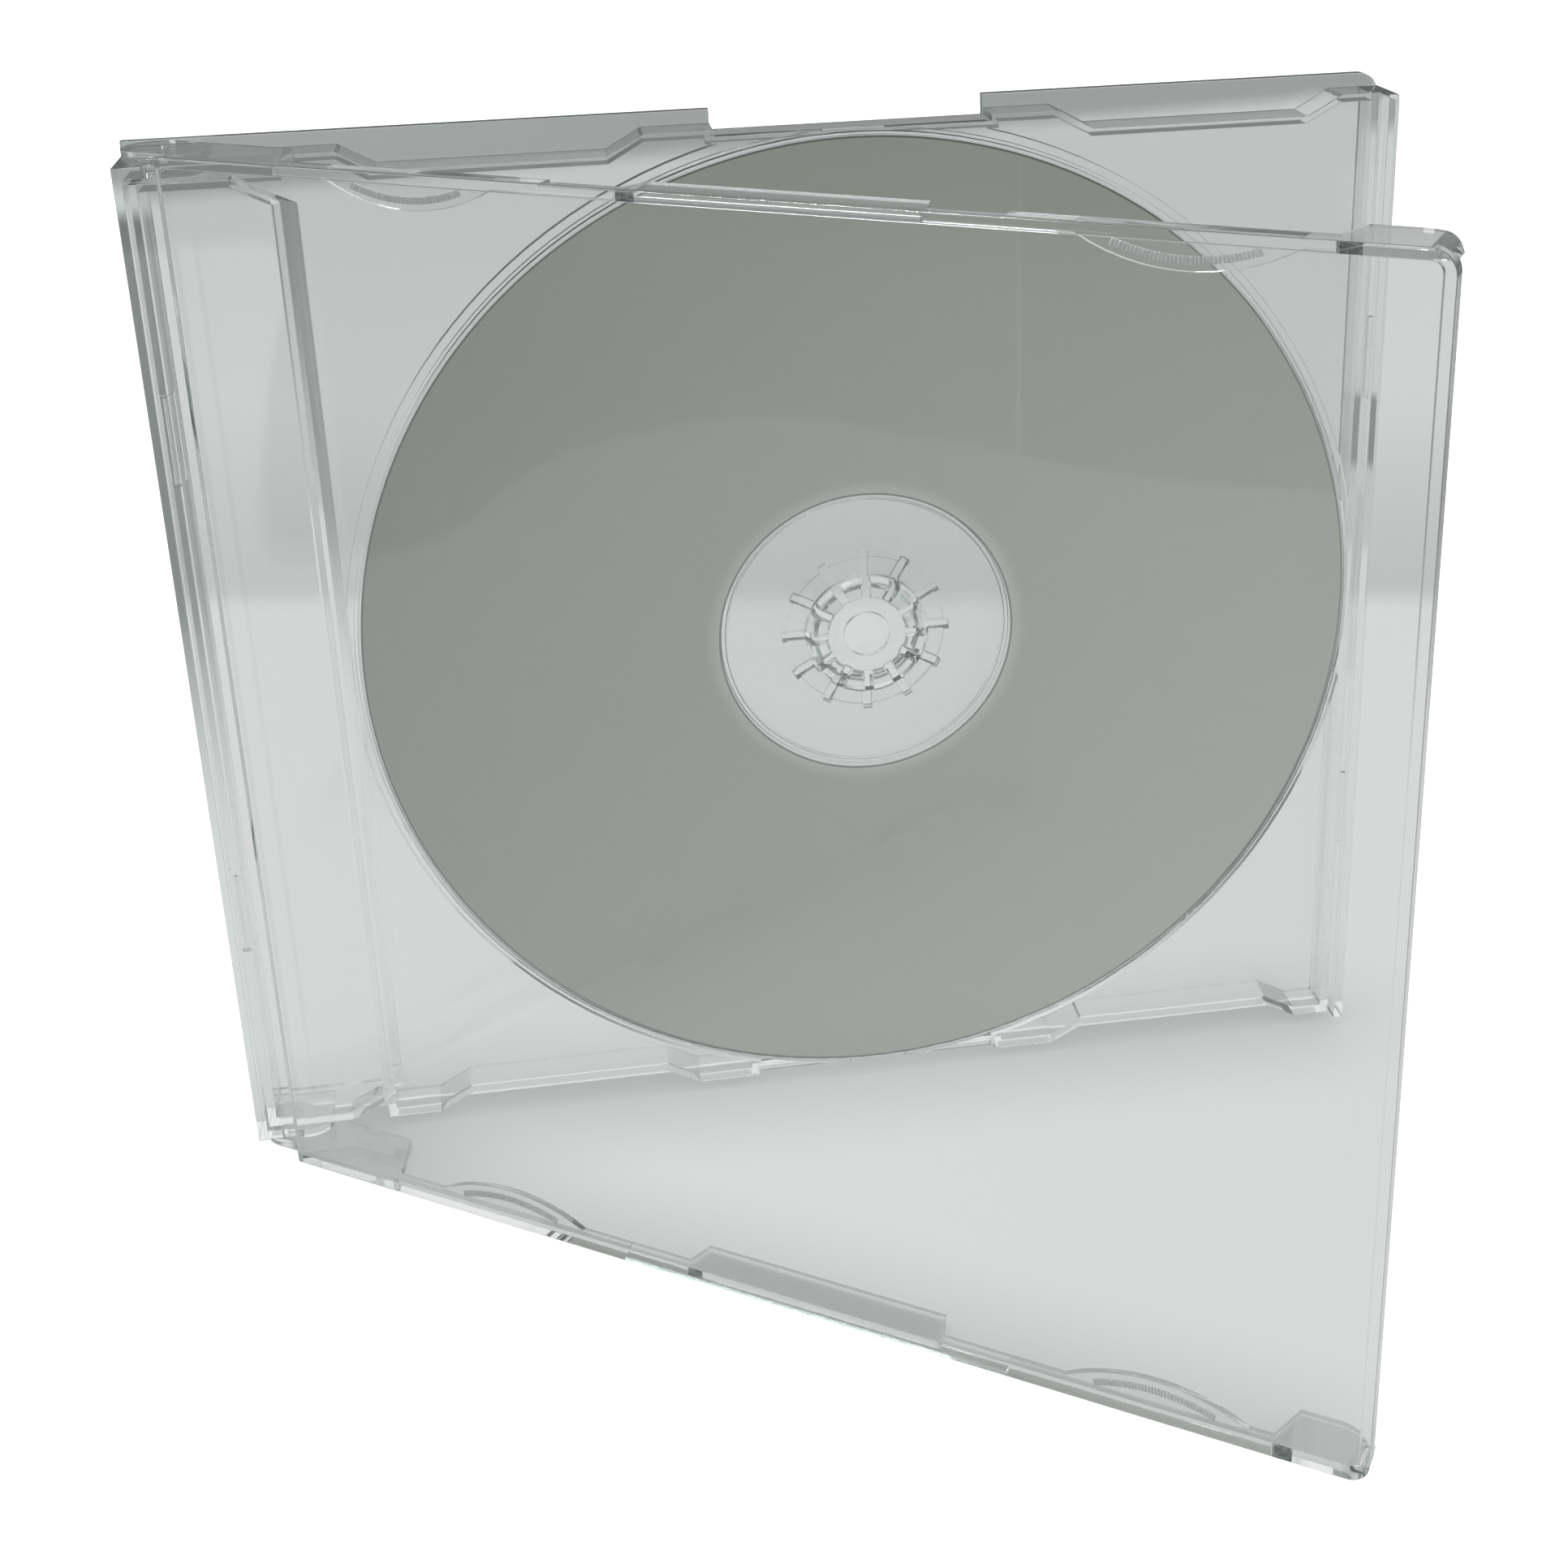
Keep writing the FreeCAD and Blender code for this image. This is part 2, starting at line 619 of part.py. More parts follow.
def front_cover():
    """Flat front with a rail along each side, arms with hinge pins, and booklet tabs."""
    body = new_body("front_cover")
    outline = sketch_on(body, "front_outline", "XY_Plane")
    add_rectangle(outline, LID_EDGE, CASE_WIDTH, "-" + HALF_HEIGHT, HALF_HEIGHT)
    pad(body, outline, "front_blank", "Size.lip_depth")

    inside = sketch_on(body, "inside_outline", "XY_Plane", "Size.front_panel")
    lip_start = "(%s - Size.cover_wall)" % CASE_WIDTH
    inner_radius = "(Size.corner_radius - Size.cover_wall)"
    add_rounded_plan(inside, "0", lip_start, INNER_HALF, inner_radius)
    pocket(body, inside, "inside", "Size.lip_depth", backwards=True)

    rail_outline = sketch_on(body, "rail_outline", "XZ_Plane", "-" + HALF_HEIGHT)
    add_polygon(rail_outline, rail_profile())
    rail = pad(body, rail_outline, "rail", "Size.cover_wall")

    arm_end = sketch_on(body, "arm_end_outline", "XZ_Plane", "-" + HALF_HEIGHT)
    add_circle(arm_end, ARM_RADIUS, "Size.hinge_inset", HINGE_Z)
    arm = pad(body, arm_end, "arm_end", "Size.cover_wall")

    pin_outline = sketch_on(body, "pin_outline", "XZ_Plane", "-" + INNER_HALF)
    add_circle(pin_outline, "Size.pin_radius", "Size.hinge_inset", HINGE_Z)
    pin = pad(body, pin_outline, "pin", "Size.side_gap + Size.cover_wall")

    tab_outline = sketch_on(body, "tab_outline", "XY_Plane", "Size.rail_depth - Size.tab_thickness")
    base = "(%s + Size.cover_wall / 2)" % INNER_HALF
    reach = "(Size.tab_reach + Size.cover_wall / 2)"
    for side in ("-", "+"):
        centre = "(%s %s %s)" % (DISC_X, side, TAB_CENTRE)
        add_half_moon(tab_outline, centre, TAB_LENGTH, base, reach)
    tabs = pad(body, tab_outline, "tabs", "Size.tab_thickness")
    mirror(body, "both_sides", [rail, arm, pin, tabs])

    grip_outline = sketch_on(body, "grip_outline", "XZ_Plane", "-" + HALF_HEIGHT)
    grip_half = "(%s + Size.grip_margin)" % BAY_START
    grip_start = "(%s - %s)" % (DISC_X, grip_half)
    grip_end = "(%s + %s)" % (DISC_X, grip_half)
    add_rectangle(grip_outline, grip_start, grip_end, "Size.grip_lip", "Size.case_depth")
    grip = pocket(body, grip_outline, "grip", "Size.grip_depth", backwards=True)
    mirror(body, "grips", [grip])

    end_corner = Vector(value(CASE_WIDTH), 0, value("Size.end_depth"))
    fillet(body, body.Tip, "end_rounds", "Size.end_radius", Vector(0, 1, 0), [end_corner])
    round_free_corners(body, "Size.case_depth")
    return body


def stand_up(back, tray, compact_disc, front):
    """Places the pieces with the case on its long edge and the front cover open."""
    middle = value(HALF_HEIGHT)
    depth = value("Size.case_depth")
    tray_foot = depth - value("Size.back_panel + Size.rest_gap")
    disc_x = value(DISC_X)
    upright = Rotation(Vector(1, 0, 0), 90)
    back.Placement = Placement(Vector(0, depth, middle), upright)
    tray.Placement = Placement(Vector(disc_x, tray_foot, middle), upright)
    disc_face = tray_foot - value(SEAT + " + Size.rest_gap")
    compact_disc.Placement = Placement(Vector(disc_x, disc_face, middle), upright)

    pivot = Vector(value("Size.hinge_inset"), value(HINGE_Z), 0)
    closed = Placement(Vector(0, 0, middle), Rotation(Vector(1, 0, 0), -90))
    swing = Rotation(Vector(0, 0, 1), -value("Size.open_angle"))
    front.Placement = Placement(pivot, swing) * Placement(-pivot, Rotation()) * closed


def centre_on_floor(bodies):
    """Moves all pieces so that the box around them is centred over the origin."""
    doc.recompute()
    box = FreeCAD.BoundBox()
    for body in bodies:
        box.add(body.Shape.optimalBoundingBox(False, False))
    shift = Vector(-box.Center.x, -box.Center.y, -box.ZMin)
    for body in bodies:
        body.Placement = Placement(shift, Rotation()) * body.Placement
    doc.recompute()
    return shift


def write_parts(bodies):
    """Checks every object and writes each piece."""
    for item in doc.Objects:
        if "Invalid" in item.State or "Error" in item.State:
            raise RuntimeError("%s failed: %s" % (item.Name, item.State))
    os.makedirs("parts", exist_ok=True)
    for body in bodies:
        shape = body.Shape
        if shape.isNull() or not shape.isValid() or len(shape.Solids) != 1:
            raise RuntimeError(body.Label + " is not one valid solid")
        shape.exportStep("parts/%s.step" % body.Label)
        print("%-12s %9.1f mm3" % (body.Label, shape.Volume))


pieces = [back_cover(), disc_tray(), disc(), front_cover()]
stand_up(*pieces)
moved = centre_on_floor(pieces)
hinge = Vector(value("Size.hinge_inset"), value(HINGE_Z), 0) + moved
print("moved by", moved)
print("hinge axis through", hinge)
write_parts(pieces)
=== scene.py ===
"""Looks of a clear disc case that stands open on its long edge, on a plain white stage.

The covers and the tray keep their solids and get clear moulded polystyrene. The disc keeps
its solid as clear polycarbonate, and its mirror layer and grey lacquer are added to it. Fine
grip ridges are added to the four tabs of the front cover.
"""
import math

import bpy
from mathutils import Euler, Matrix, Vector


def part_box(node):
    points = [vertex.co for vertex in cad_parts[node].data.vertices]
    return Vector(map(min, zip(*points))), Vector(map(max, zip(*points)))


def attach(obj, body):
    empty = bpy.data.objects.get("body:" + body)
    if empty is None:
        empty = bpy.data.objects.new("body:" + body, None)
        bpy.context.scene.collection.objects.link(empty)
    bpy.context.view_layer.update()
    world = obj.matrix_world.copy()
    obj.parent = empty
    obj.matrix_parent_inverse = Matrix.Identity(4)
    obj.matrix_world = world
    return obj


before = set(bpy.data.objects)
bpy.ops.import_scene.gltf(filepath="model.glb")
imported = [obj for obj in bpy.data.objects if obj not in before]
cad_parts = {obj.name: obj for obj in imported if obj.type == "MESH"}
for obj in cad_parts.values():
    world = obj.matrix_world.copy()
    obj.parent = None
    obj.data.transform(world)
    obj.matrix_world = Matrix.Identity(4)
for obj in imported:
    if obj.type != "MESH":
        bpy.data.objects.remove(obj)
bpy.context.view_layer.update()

bl_info = {
    "name": "Clear Disc Case",
    "version": (1, 0, 0),
    "blender": (4, 5, 0),
    "location": "View3D > Sidebar > Disc Case",
    "description": "Dresses the solids of a clear disc case and sets its stage",
    "category": "Object",
}

MM = 0.001
POLYSTYRENE_IOR = 1.59
POLYCARBONATE_IOR = 1.58
# Lamps, each with its name, place, size in metres and power in watts, and where they aim.
LAMPS = (
    ("ceiling_lamp", (-0.3, 0.2, 0.9), 0.2, 9.0),
    ("side_lamp", (-0.8, -0.45, 0.35), 0.3, 0.6),
)
AIM = Vector((0, 0, 0.06))
# Light that is caught in the thick plastic needs this many bounces to find its way out.
BOUNCES = 32
# Heights of a direction in the sky: the room ends at the first, the ceiling starts at the second.
SKY_RISE = (0.05, 0.6)

# What the case shows of its surroundings, in metres on the floor from its middle: X to the
# right and Y away from the lens. Each pair is where a blend starts and where it is full, and
# each slope is how far a line runs along one axis per metre of the other.
WALL_RISE = 0.16
FAR_FLOOR_SLOPE, FAR_FLOOR = -0.15, (0.665, 0.72)
SIDE_LEAN, SIDE_FLARE, SIDE_EDGE, SIDE_START = -0.087, -0.26, (0.13, 0.2), (0.02, 0.12)
LEFT_EDGE, LEFT_START = (-0.15, -0.7), (0.05, -0.03)
STRIPE_SLOPE, STRIPE_PLACE, STRIPE_EDGE = -0.176, 0.0785, (0.018, 0.012)
STRIPE_START, STRIPE_END = (0.11, 0.26), (0.66, 0.62)
ROOM_EDGE = (0.85, 1.3)
LEAN_SPAN = (-0.1, 0.15)
# The stripe is left out of light that has met more faces than this.
STRIPE_DEPTH = 7.5
# Near edge of the table: share of its span in X, and share of its depth before the case.
TABLE_SPAN = (-0.25, 0.35)
TABLE_DEPTH = 0.5
TABLE_FRONT = ((0.0, 1.0), (0.22, 1.0), (0.27, 0.36), (0.303, 0.352), (0.38, 0.478),
               (0.45, 0.512), (0.52, 0.46), (0.60, 0.37), (0.68, 0.33), (1.0, 0.31))

# The front cover's own frame, with its outer face at Z 0 and its middle on the X axis, as it
# stands when the cover is open by its swing about the hinge.
SWING = -math.radians(34.3)
HINGE = Vector((-66.8, 38.3748, 62.5)) * MM
LID_CORNER = Vector((-4.2, -5.2, 0)) * MM
LID_TURN = Euler((-math.pi / 2, 0, SWING))
LID_PLACE = HINGE + Euler((0, 0, SWING)).to_matrix() @ LID_CORNER
# Painted shade: thin dark line at the lacquer's edges, for the shade that falls along them; the fine
# grain of its surface, and the height of the flow marks in the clear plastic.
SHADE_LINE_WIDTH = 0.3 * MM
GRAIN_SIZE, GRAIN_HEIGHT, GRAIN_STRENGTH = 1.2 * MM, 0.02 * MM, 0.015
FLOW_HEIGHT, FLOW_STRENGTH = 0.3 * MM, 0.05
# Sides of the disc's rings and of a ridge.
RING_SIDES = 256
RIDGE_SIDES = 8
# The floor lies this far under the case, so that the two faces don't flicker.
FLOOR_GAP = 0.1 * MM
DISC_LOW, DISC_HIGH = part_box("disc")
DISC_CENTRE = (DISC_LOW + DISC_HIGH) / 2


def hex_colour(text):
    """Linear RGBA of an sRGB colour written as six hex digits."""
    channels = [int(text[place:place + 2], 16) / 255 for place in (0, 2, 4)]
    linear = [c / 12.92 if c <= 0.04045 else ((c + 0.055) / 1.055) ** 2.4 for c in channels]
    return (*linear, 1.0)


class PlasticLooks(bpy.types.PropertyGroup):
    """Looks that all the clear plastics share."""

    flow_size: bpy.props.FloatProperty(
        name="Flow marks", description="Size of the faint flow marks in the plastic",
        subtype="DISTANCE", unit="LENGTH", default=14 * MM)
    depth_tint: bpy.props.FloatVectorProperty(
        name="Depth tint", description="Colour that the plastic turns to where it is deep",
        subtype="COLOR", size=4, min=0, max=1, default=hex_colour("E0EEEA"))
    depth_density: bpy.props.FloatProperty(
        name="Depth density", description="How fast the plastic darkens with its depth, per metre",
        min=0, default=25.0)


class CoverLooks(bpy.types.PropertyGroup):
    """Looks of the two clear covers."""

    tint: bpy.props.FloatVectorProperty(
        name="Cover tint", description="Colour that the covers give to what is seen through them",
        subtype="COLOR", size=4, min=0, max=1, default=hex_colour("FEFEFE"))
    roughness: bpy.props.FloatProperty(
        name="Cover roughness", description="Blur of reflections in the polished covers",
        subtype="FACTOR", min=0, max=1, default=0.015)
    clarity: bpy.props.FloatProperty(
        name="Cover clarity", description="Share of light that the covers let through unscattered",
        subtype="FACTOR", min=0, max=1, default=0.985)
    edge_radius: bpy.props.FloatProperty(
        name="Cover edge radius", description="Radius that the mould leaves on the covers' edges",
        subtype="DISTANCE", unit="LENGTH", default=0.12 * MM)


class TrayLooks(bpy.types.PropertyGroup):
    """Looks of the clear tray."""

    tint: bpy.props.FloatVectorProperty(
        name="Tray tint", description="Colour that the tray gives to what is seen through it",
        subtype="COLOR", size=4, min=0, max=1, default=hex_colour("FDFDFD"))
    roughness: bpy.props.FloatProperty(
        name="Tray roughness", description="Blur of reflections in the tray",
        subtype="FACTOR", min=0, max=1, default=0.03)
    clarity: bpy.props.FloatProperty(
        name="Tray clarity", description="Share of light that the tray lets through unscattered",
        subtype="FACTOR", min=0, max=1, default=0.985)
    edge_radius: bpy.props.FloatProperty(
        name="Tray edge radius", description="Radius that the mould leaves on the tray's edges",
        subtype="DISTANCE", unit="LENGTH", default=0.08 * MM)


class DiscLooks(bpy.types.PropertyGroup):
    """Sizes and looks of the disc's layers."""

    tint: bpy.props.FloatVectorProperty(
        name="Disc tint", description="Colour that the disc gives to what is seen through it",
        subtype="COLOR", size=4, min=0, max=1, default=hex_colour("F7F9F8"))
    roughness: bpy.props.FloatProperty(
        name="Disc roughness", description="Blur of reflections in the clear disc",
        subtype="FACTOR", min=0, max=1, default=0.01)
    clarity: bpy.props.FloatProperty(
        name="Disc clarity", description="Share of light that the disc lets through unscattered",
        subtype="FACTOR", min=0, max=1, default=0.985)
    edge_radius: bpy.props.FloatProperty(
        name="Disc edge radius", description="Radius that the mould leaves on the disc's edges",
        subtype="DISTANCE", unit="LENGTH", default=0.08 * MM)
    lacquer: bpy.props.FloatVectorProperty(
        name="Lacquer", description="Colour of the lacquer on the disc's front",
        subtype="COLOR", size=4, min=0, max=1, default=hex_colour("B5BBB2"))
    edge_lacquer: bpy.props.FloatVectorProperty(
        name="Edge lacquer", description="Colour of the thinner lacquer at the inner edge",
        subtype="COLOR", size=4, min=0, max=1, default=hex_colour("CDD3CB"))
    # Painted shade: this thin dark line stands in for the shade that falls along the lacquer's
    # edges.
    line: bpy.props.FloatVectorProperty(
        name="Edge line", description="Colour of the thin dark line at both edges of the lacquer",
        subtype="COLOR", size=4, min=0, max=1, default=hex_colour("777D75"))
    fade: bpy.props.FloatProperty(
        name="Fade", description="Width of the thinner lacquer at the inner edge",
        subtype="DISTANCE", unit="LENGTH", default=2.2 * MM)
    inner_radius: bpy.props.FloatProperty(
        name="Inner radius", description="Radius of the clear middle of the disc",
        subtype="DISTANCE", unit="LENGTH", default=17.65 * MM)
    outer_radius: bpy.props.FloatProperty(
        name="Outer radius", description="Radius at which the lacquer ends before the disc's edge",
        subtype="DISTANCE", unit="LENGTH", default=59.6 * MM)
    layer: bpy.props.FloatProperty(
        name="Layer", description="Thickness of the lacquer and of the mirror layer",
        subtype="DISTANCE", unit="LENGTH", default=0.02 * MM)


class RidgeLooks(bpy.types.PropertyGroup):
    """Fine grip ridges on the front cover's four tabs, in the cover's own frame."""

    tint: bpy.props.FloatVectorProperty(
        name="Ridge tint", description="Colour of the ridges",
        subtype="COLOR", size=4, min=0, max=1, default=hex_colour("FEFEFE"))
    roughness: bpy.props.FloatProperty(
        name="Ridge roughness", description="Blur of reflections in the ridges",
        subtype="FACTOR", min=0, max=1, default=0.2)
    clarity: bpy.props.FloatProperty(
        name="Ridge clarity", description="Share of light that the ridges let through unscattered",
        subtype="FACTOR", min=0, max=1, default=0.1)
    edge_radius: bpy.props.FloatProperty(
        name="Ridge edge radius", description="Radius on the edges of the ridges",
        subtype="DISTANCE", unit="LENGTH", default=0.03 * MM)
    spine_tab: bpy.props.FloatProperty(
        name="Spine tabs", description="Distance of the spine-side tabs' middle from the spine",
        subtype="DISTANCE", unit="LENGTH", default=39.5 * MM)
    free_tab: bpy.props.FloatProperty(
        name="Free tabs", description="Distance of the free-side tabs' middle from the spine",
        subtype="DISTANCE", unit="LENGTH", default=119.3 * MM)
    centre: bpy.props.FloatProperty(
        name="Arc centre", description="Distance of an arc's centre from the cover's middle",
        subtype="DISTANCE", unit="LENGTH", default=78.583 * MM)
    radius: bpy.props.FloatProperty(
        name="Arc radius", description="Radius of a tab's edge",
        subtype="DISTANCE", unit="LENGTH", default=19.983 * MM)
    inset: bpy.props.FloatProperty(
        name="Inset", description="Distance from a tab's edge to the middle of its ridges",
        subtype="DISTANCE", unit="LENGTH", default=1.1 * MM)
    height: bpy.props.FloatProperty(
        name="Tab height", description="Height of a tab's near face above the cover's outer face",
        subtype="DISTANCE", unit="LENGTH", default=1.9 * MM)
    length: bpy.props.FloatProperty(
        name="Ridge length", description="Length of a ridge towards the tab's edge",
        subtype="DISTANCE", unit="LENGTH", default=0.68 * MM)
    thickness: bpy.props.FloatProperty(
        name="Ridge thickness", description="Width of a ridge",
        subtype="DISTANCE", unit="LENGTH", default=0.3 * MM)
    gap: bpy.props.FloatProperty(
        name="Ridge gap", description="Gap that keeps a ridge's solid off the tab's solid",
        subtype="DISTANCE", unit="LENGTH", default=0.01 * MM)
    span: bpy.props.FloatProperty(
        name="Ridge span", description="Part of a tab's arc that carries ridges",
        subtype="ANGLE", unit="ROTATION", default=math.radians(40))
    count: bpy.props.IntProperty(
        name="Ridges", description="Number of ridges on a tab", min=2, default=38)


class StageLooks(bpy.types.PropertyGroup):
    """Floor, light and camera."""

    floor: bpy.props.FloatVectorProperty(
        name="Floor", description="Colour of the floor",
        subtype="COLOR", size=4, min=0, max=1, default=hex_colour("F7F7F7"))
    table: bpy.props.FloatVectorProperty(
        name="Table", description="Light of the table as the case shows it",
        subtype="COLOR", size=4, min=0, max=1, default=hex_colour("DADCDC"))
    skirting: bpy.props.FloatVectorProperty(
        name="Behind the table", description="Light of what lies just behind the table",
        subtype="COLOR", size=4, min=0, max=1, default=hex_colour("BFC1C1"))
    behind: bpy.props.FloatVectorProperty(
        name="Wall", description="Light of the wall that rises behind the table",
        subtype="COLOR", size=4, min=0, max=1, default=hex_colour("D5D7D7"))
    before: bpy.props.FloatVectorProperty(
        name="Before the table", description="Light of what lies before the table",
        subtype="COLOR", size=4, min=0, max=1, default=hex_colour("7C7F7E"))
    far_floor: bpy.props.FloatVectorProperty(
        name="Far floor", description="Light of the floor far behind the table",
        subtype="COLOR", size=4, min=0, max=1, default=hex_colour("A2A6A5"))
    aside: bpy.props.FloatVectorProperty(
        name="Beside the table", description="Light of what lies beside the table",
        subtype="COLOR", size=4, min=0, max=1, default=hex_colour("868A89"))
    # Painted shade: a dark stripe that is there only to darken the spine's walls, which mirror it.
    stripe: bpy.props.FloatVectorProperty(
        name="Dark stripe", description="Light of the dark stripe that the spine's walls mirror",
        subtype="COLOR", size=4, min=0, max=1, default=hex_colour("7A7E7D"))
    surround: bpy.props.FloatVectorProperty(
        name="Surround", description="Light of the dim room around the table",
        subtype="COLOR", size=4, min=0, max=1, default=hex_colour("5C605F"))
    ceiling: bpy.props.FloatVectorProperty(
        name="Ceiling", description="Light of the studio above the case",
        subtype="COLOR", size=4, min=0, max=1, default=hex_colour("F8F8F8"))
    floor_glow: bpy.props.FloatProperty(
        name="Floor glow", description="Light that the card adds so that it stays white",
        min=0, default=0.62)
    table_back: bpy.props.FloatProperty(
        name="Table back", description="Place of the table's far edge behind the case",
        subtype="DISTANCE", unit="LENGTH", default=0.209)
    table_slant: bpy.props.FloatProperty(
        name="Table slant", description="Slope of the table's far edge",
        default=0.2297)
    blur: bpy.props.FloatProperty(
        name="Edge blur", description="Softness of the table's edges",
        subtype="DISTANCE", unit="LENGTH", default=0.008)
    shadow_reach: bpy.props.FloatProperty(
        name="Shadow reach", description="How far the case shades the table that it stands on",
        subtype="DISTANCE", unit="LENGTH", default=18 * MM)
    shadow: bpy.props.FloatProperty(
        name="Shadow", description="Share of light that is left right under the case",
        subtype="FACTOR", min=0, max=1, default=0.55)
    lean: bpy.props.FloatProperty(
        name="Lean of the light", description="Share by which the left is lighter than the middle",
        subtype="FACTOR", min=0, max=1, default=0.04)
    floor_size: bpy.props.FloatProperty(
        name="Floor size", description="Length of the floor's sides",
        subtype="DISTANCE", unit="LENGTH", default=6.0)
    camera_place: bpy.props.FloatVectorProperty(
        name="Camera place", description="Place of the camera",
        subtype="XYZ", unit="LENGTH", size=3, default=(-0.028167, -0.205313, 0.165859))
    camera_turn: bpy.props.FloatVectorProperty(
        name="Camera turn", description="Rotation of the camera",
        subtype="EULER", unit="ROTATION", size=3,
        default=tuple(math.radians(a) for a in (68.3582, 1.7355, -8.6265)))
    camera_lens: bpy.props.FloatProperty(
        name="Camera lens", description="Focal length of the camera, in millimetres",
        default=50.5472)
    camera_shift: bpy.props.FloatVectorProperty(
        name="Camera shift", description="Shift of the picture, as the photograph is framed",
        size=2, default=(-0.0383, -0.12733))


def add_node(tree, kind, inputs=None, **settings):
    """Adds a node with its settings; each of its inputs gets a value or a socket to read."""
    node = tree.nodes.new(kind)
    for name, setting in settings.items():
        setattr(node, name, setting)
    for name, source in (inputs or {}).items():
        if isinstance(source, bpy.types.NodeSocket):
            tree.links.new(source, node.inputs[name])
        else:
            node.inputs[name].default_value = source
    return node


def ramp(tree, value, edges, **ends):
    """Smooth step of a socket's value from 0 at the first edge to 1 at the second."""
    extra = {"From Min": edges[0], "From Max": edges[1], **ends}
    node = add_node(tree, "ShaderNodeMapRange", {"Value": value, **extra},
                    interpolation_type="SMOOTHSTEP")
    return node.outputs["Result"]


def weighted(tree, value, weight, other):
    """One socket's value times a weight, plus another socket's value."""
    node = add_node(tree, "ShaderNodeMath", {0: value, 1: weight, 2: other},
                    operation="MULTIPLY_ADD")
    return node.outputs["Value"]


def size_of(tree, value):
    """A socket's value without its sign."""
    node = add_node(tree, "ShaderNodeMath", {0: value}, operation="ABSOLUTE")
    return node.outputs["Value"]


def blend(tree, share, low, high):
    """Colour between two colours."""
    node = add_node(tree, "ShaderNodeMix", {0: share, 6: low, 7: high}, data_type="RGBA")
    return node.outputs[2]


def new_material(name):
    """Material with an empty node tree and its output."""
    material = bpy.data.materials.new(name)
    material.use_nodes = True
    material.node_tree.nodes.clear()
    output = add_node(material.node_tree, "ShaderNodeOutputMaterial")
    return material, material.node_tree, output


def clear_plastic(name, part, ior, looks):
    """Clear plastic: soft moulded edges, slight flow marks, and a trace of green in depth."""
    material, tree, output = new_material(name)
    place = add_node(tree, "ShaderNodeTexCoord")
    flow = add_node(tree, "ShaderNodeTexNoise",
                    {"Vector": place.outputs["Object"], "Scale": 1 / looks.flow_size, "Detail": 2.0})
    edge = add_node(tree, "ShaderNodeBevel", {"Radius": part.edge_radius}, samples=4)
    bump = add_node(tree, "ShaderNodeBump",
                    {"Height": flow.outputs["Fac"], "Normal": edge.outputs["Normal"],
                     "Strength": FLOW_STRENGTH, "Distance": FLOW_HEIGHT})
    shader = add_node(tree, "ShaderNodeBsdfPrincipled",
                      {"Base Color": part.tint, "Roughness": part.roughness, "IOR": ior,
                       "Transmission Weight": part.clarity, "Normal": bump.outputs["Normal"]})
    depth = add_node(tree, "ShaderNodeVolumeAbsorption",
                     {"Color": looks.depth_tint, "Density": looks.depth_density})
    tree.links.new(shader.outputs["BSDF"], output.inputs["Surface"])
    tree.links.new(depth.outputs["Volume"], output.inputs["Volume"])
    return material


def lacquer_material(looks):
    """Grey screen-printed lacquer: even and glossy, thinner and lighter at its inner edge, with a
    thin dark line of painted shade at both edges.
    """
    material, tree, output = new_material("grey_lacquer")
    place = add_node(tree, "ShaderNodeTexCoord")
    centred = add_node(tree, "ShaderNodeVectorMath",
                       {0: place.outputs["Object"], 1: DISC_CENTRE * Vector((1, 0, 1))},
                       operation="SUBTRACT")
    flat = add_node(tree, "ShaderNodeVectorMath",
                    {0: centred.outputs["Vector"], 1: (1, 0, 1)}, operation="MULTIPLY")
    radius = add_node(tree, "ShaderNodeVectorMath", {0: flat.outputs["Vector"]}, operation="LENGTH")
    edge = ramp(tree, radius.outputs["Value"],
                (looks.inner_radius, looks.inner_radius + looks.fade))
    colour = blend(tree, edge, looks.edge_lacquer, looks.lacquer)
    # Painted shade: a thin dark line at both edges of the lacquer, for the shade that falls along
    # them.
    for at, width in ((looks.inner_radius, SHADE_LINE_WIDTH), (looks.outer_radius, -SHADE_LINE_WIDTH)):
        line = ramp(tree, radius.outputs["Value"], (at + width / 2, at + width))
        colour = blend(tree, line, looks.line, colour)
    grain = add_node(tree, "ShaderNodeTexNoise",
                     {"Vector": place.outputs["Object"], "Scale": 1 / GRAIN_SIZE, "Detail": 2.0})
    bump = add_node(tree, "ShaderNodeBump",
                    {"Height": grain.outputs["Fac"], "Strength": GRAIN_STRENGTH,
                     "Distance": GRAIN_HEIGHT})
    shader = add_node(tree, "ShaderNodeBsdfPrincipled",
                      {"Base Color": colour, "Roughness": 0.25, "IOR": 1.5,
                       "Coat Weight": 1.0, "Coat Roughness": 0.02, "Coat IOR": 1.62,
                       "Normal": bump.outputs["Normal"]})
    tree.links.new(shader.outputs["BSDF"], output.inputs["Surface"])
    return material


def mirror_material():
    """Sputtered aluminium under the lacquer, seen from the disc's back."""
    material, tree, output = new_material("sputtered_aluminium")
    shader = add_node(tree, "ShaderNodeBsdfPrincipled",
                      {"Base Color": hex_colour("D9DBDC"), "Roughness": 0.12, "Metallic": 1.0})
    tree.links.new(shader.outputs["BSDF"], output.inputs["Surface"])
    return material


def dress(piece, material):
    """Gives a piece one material."""
    piece.data.materials.clear()
    piece.data.materials.append(material)


def deselect():
    """Leaves nothing selected in object mode."""
    if bpy.context.object and bpy.context.object.mode != "OBJECT":
        bpy.ops.object.mode_set(mode="OBJECT")
    bpy.ops.object.select_all(action="DESELECT")


def settle(piece):
    """Puts a piece's place into its mesh."""
    deselect()
    piece.select_set(True)
    bpy.context.view_layer.objects.active = piece
    bpy.ops.object.transform_apply(location=True, rotation=True, scale=True)


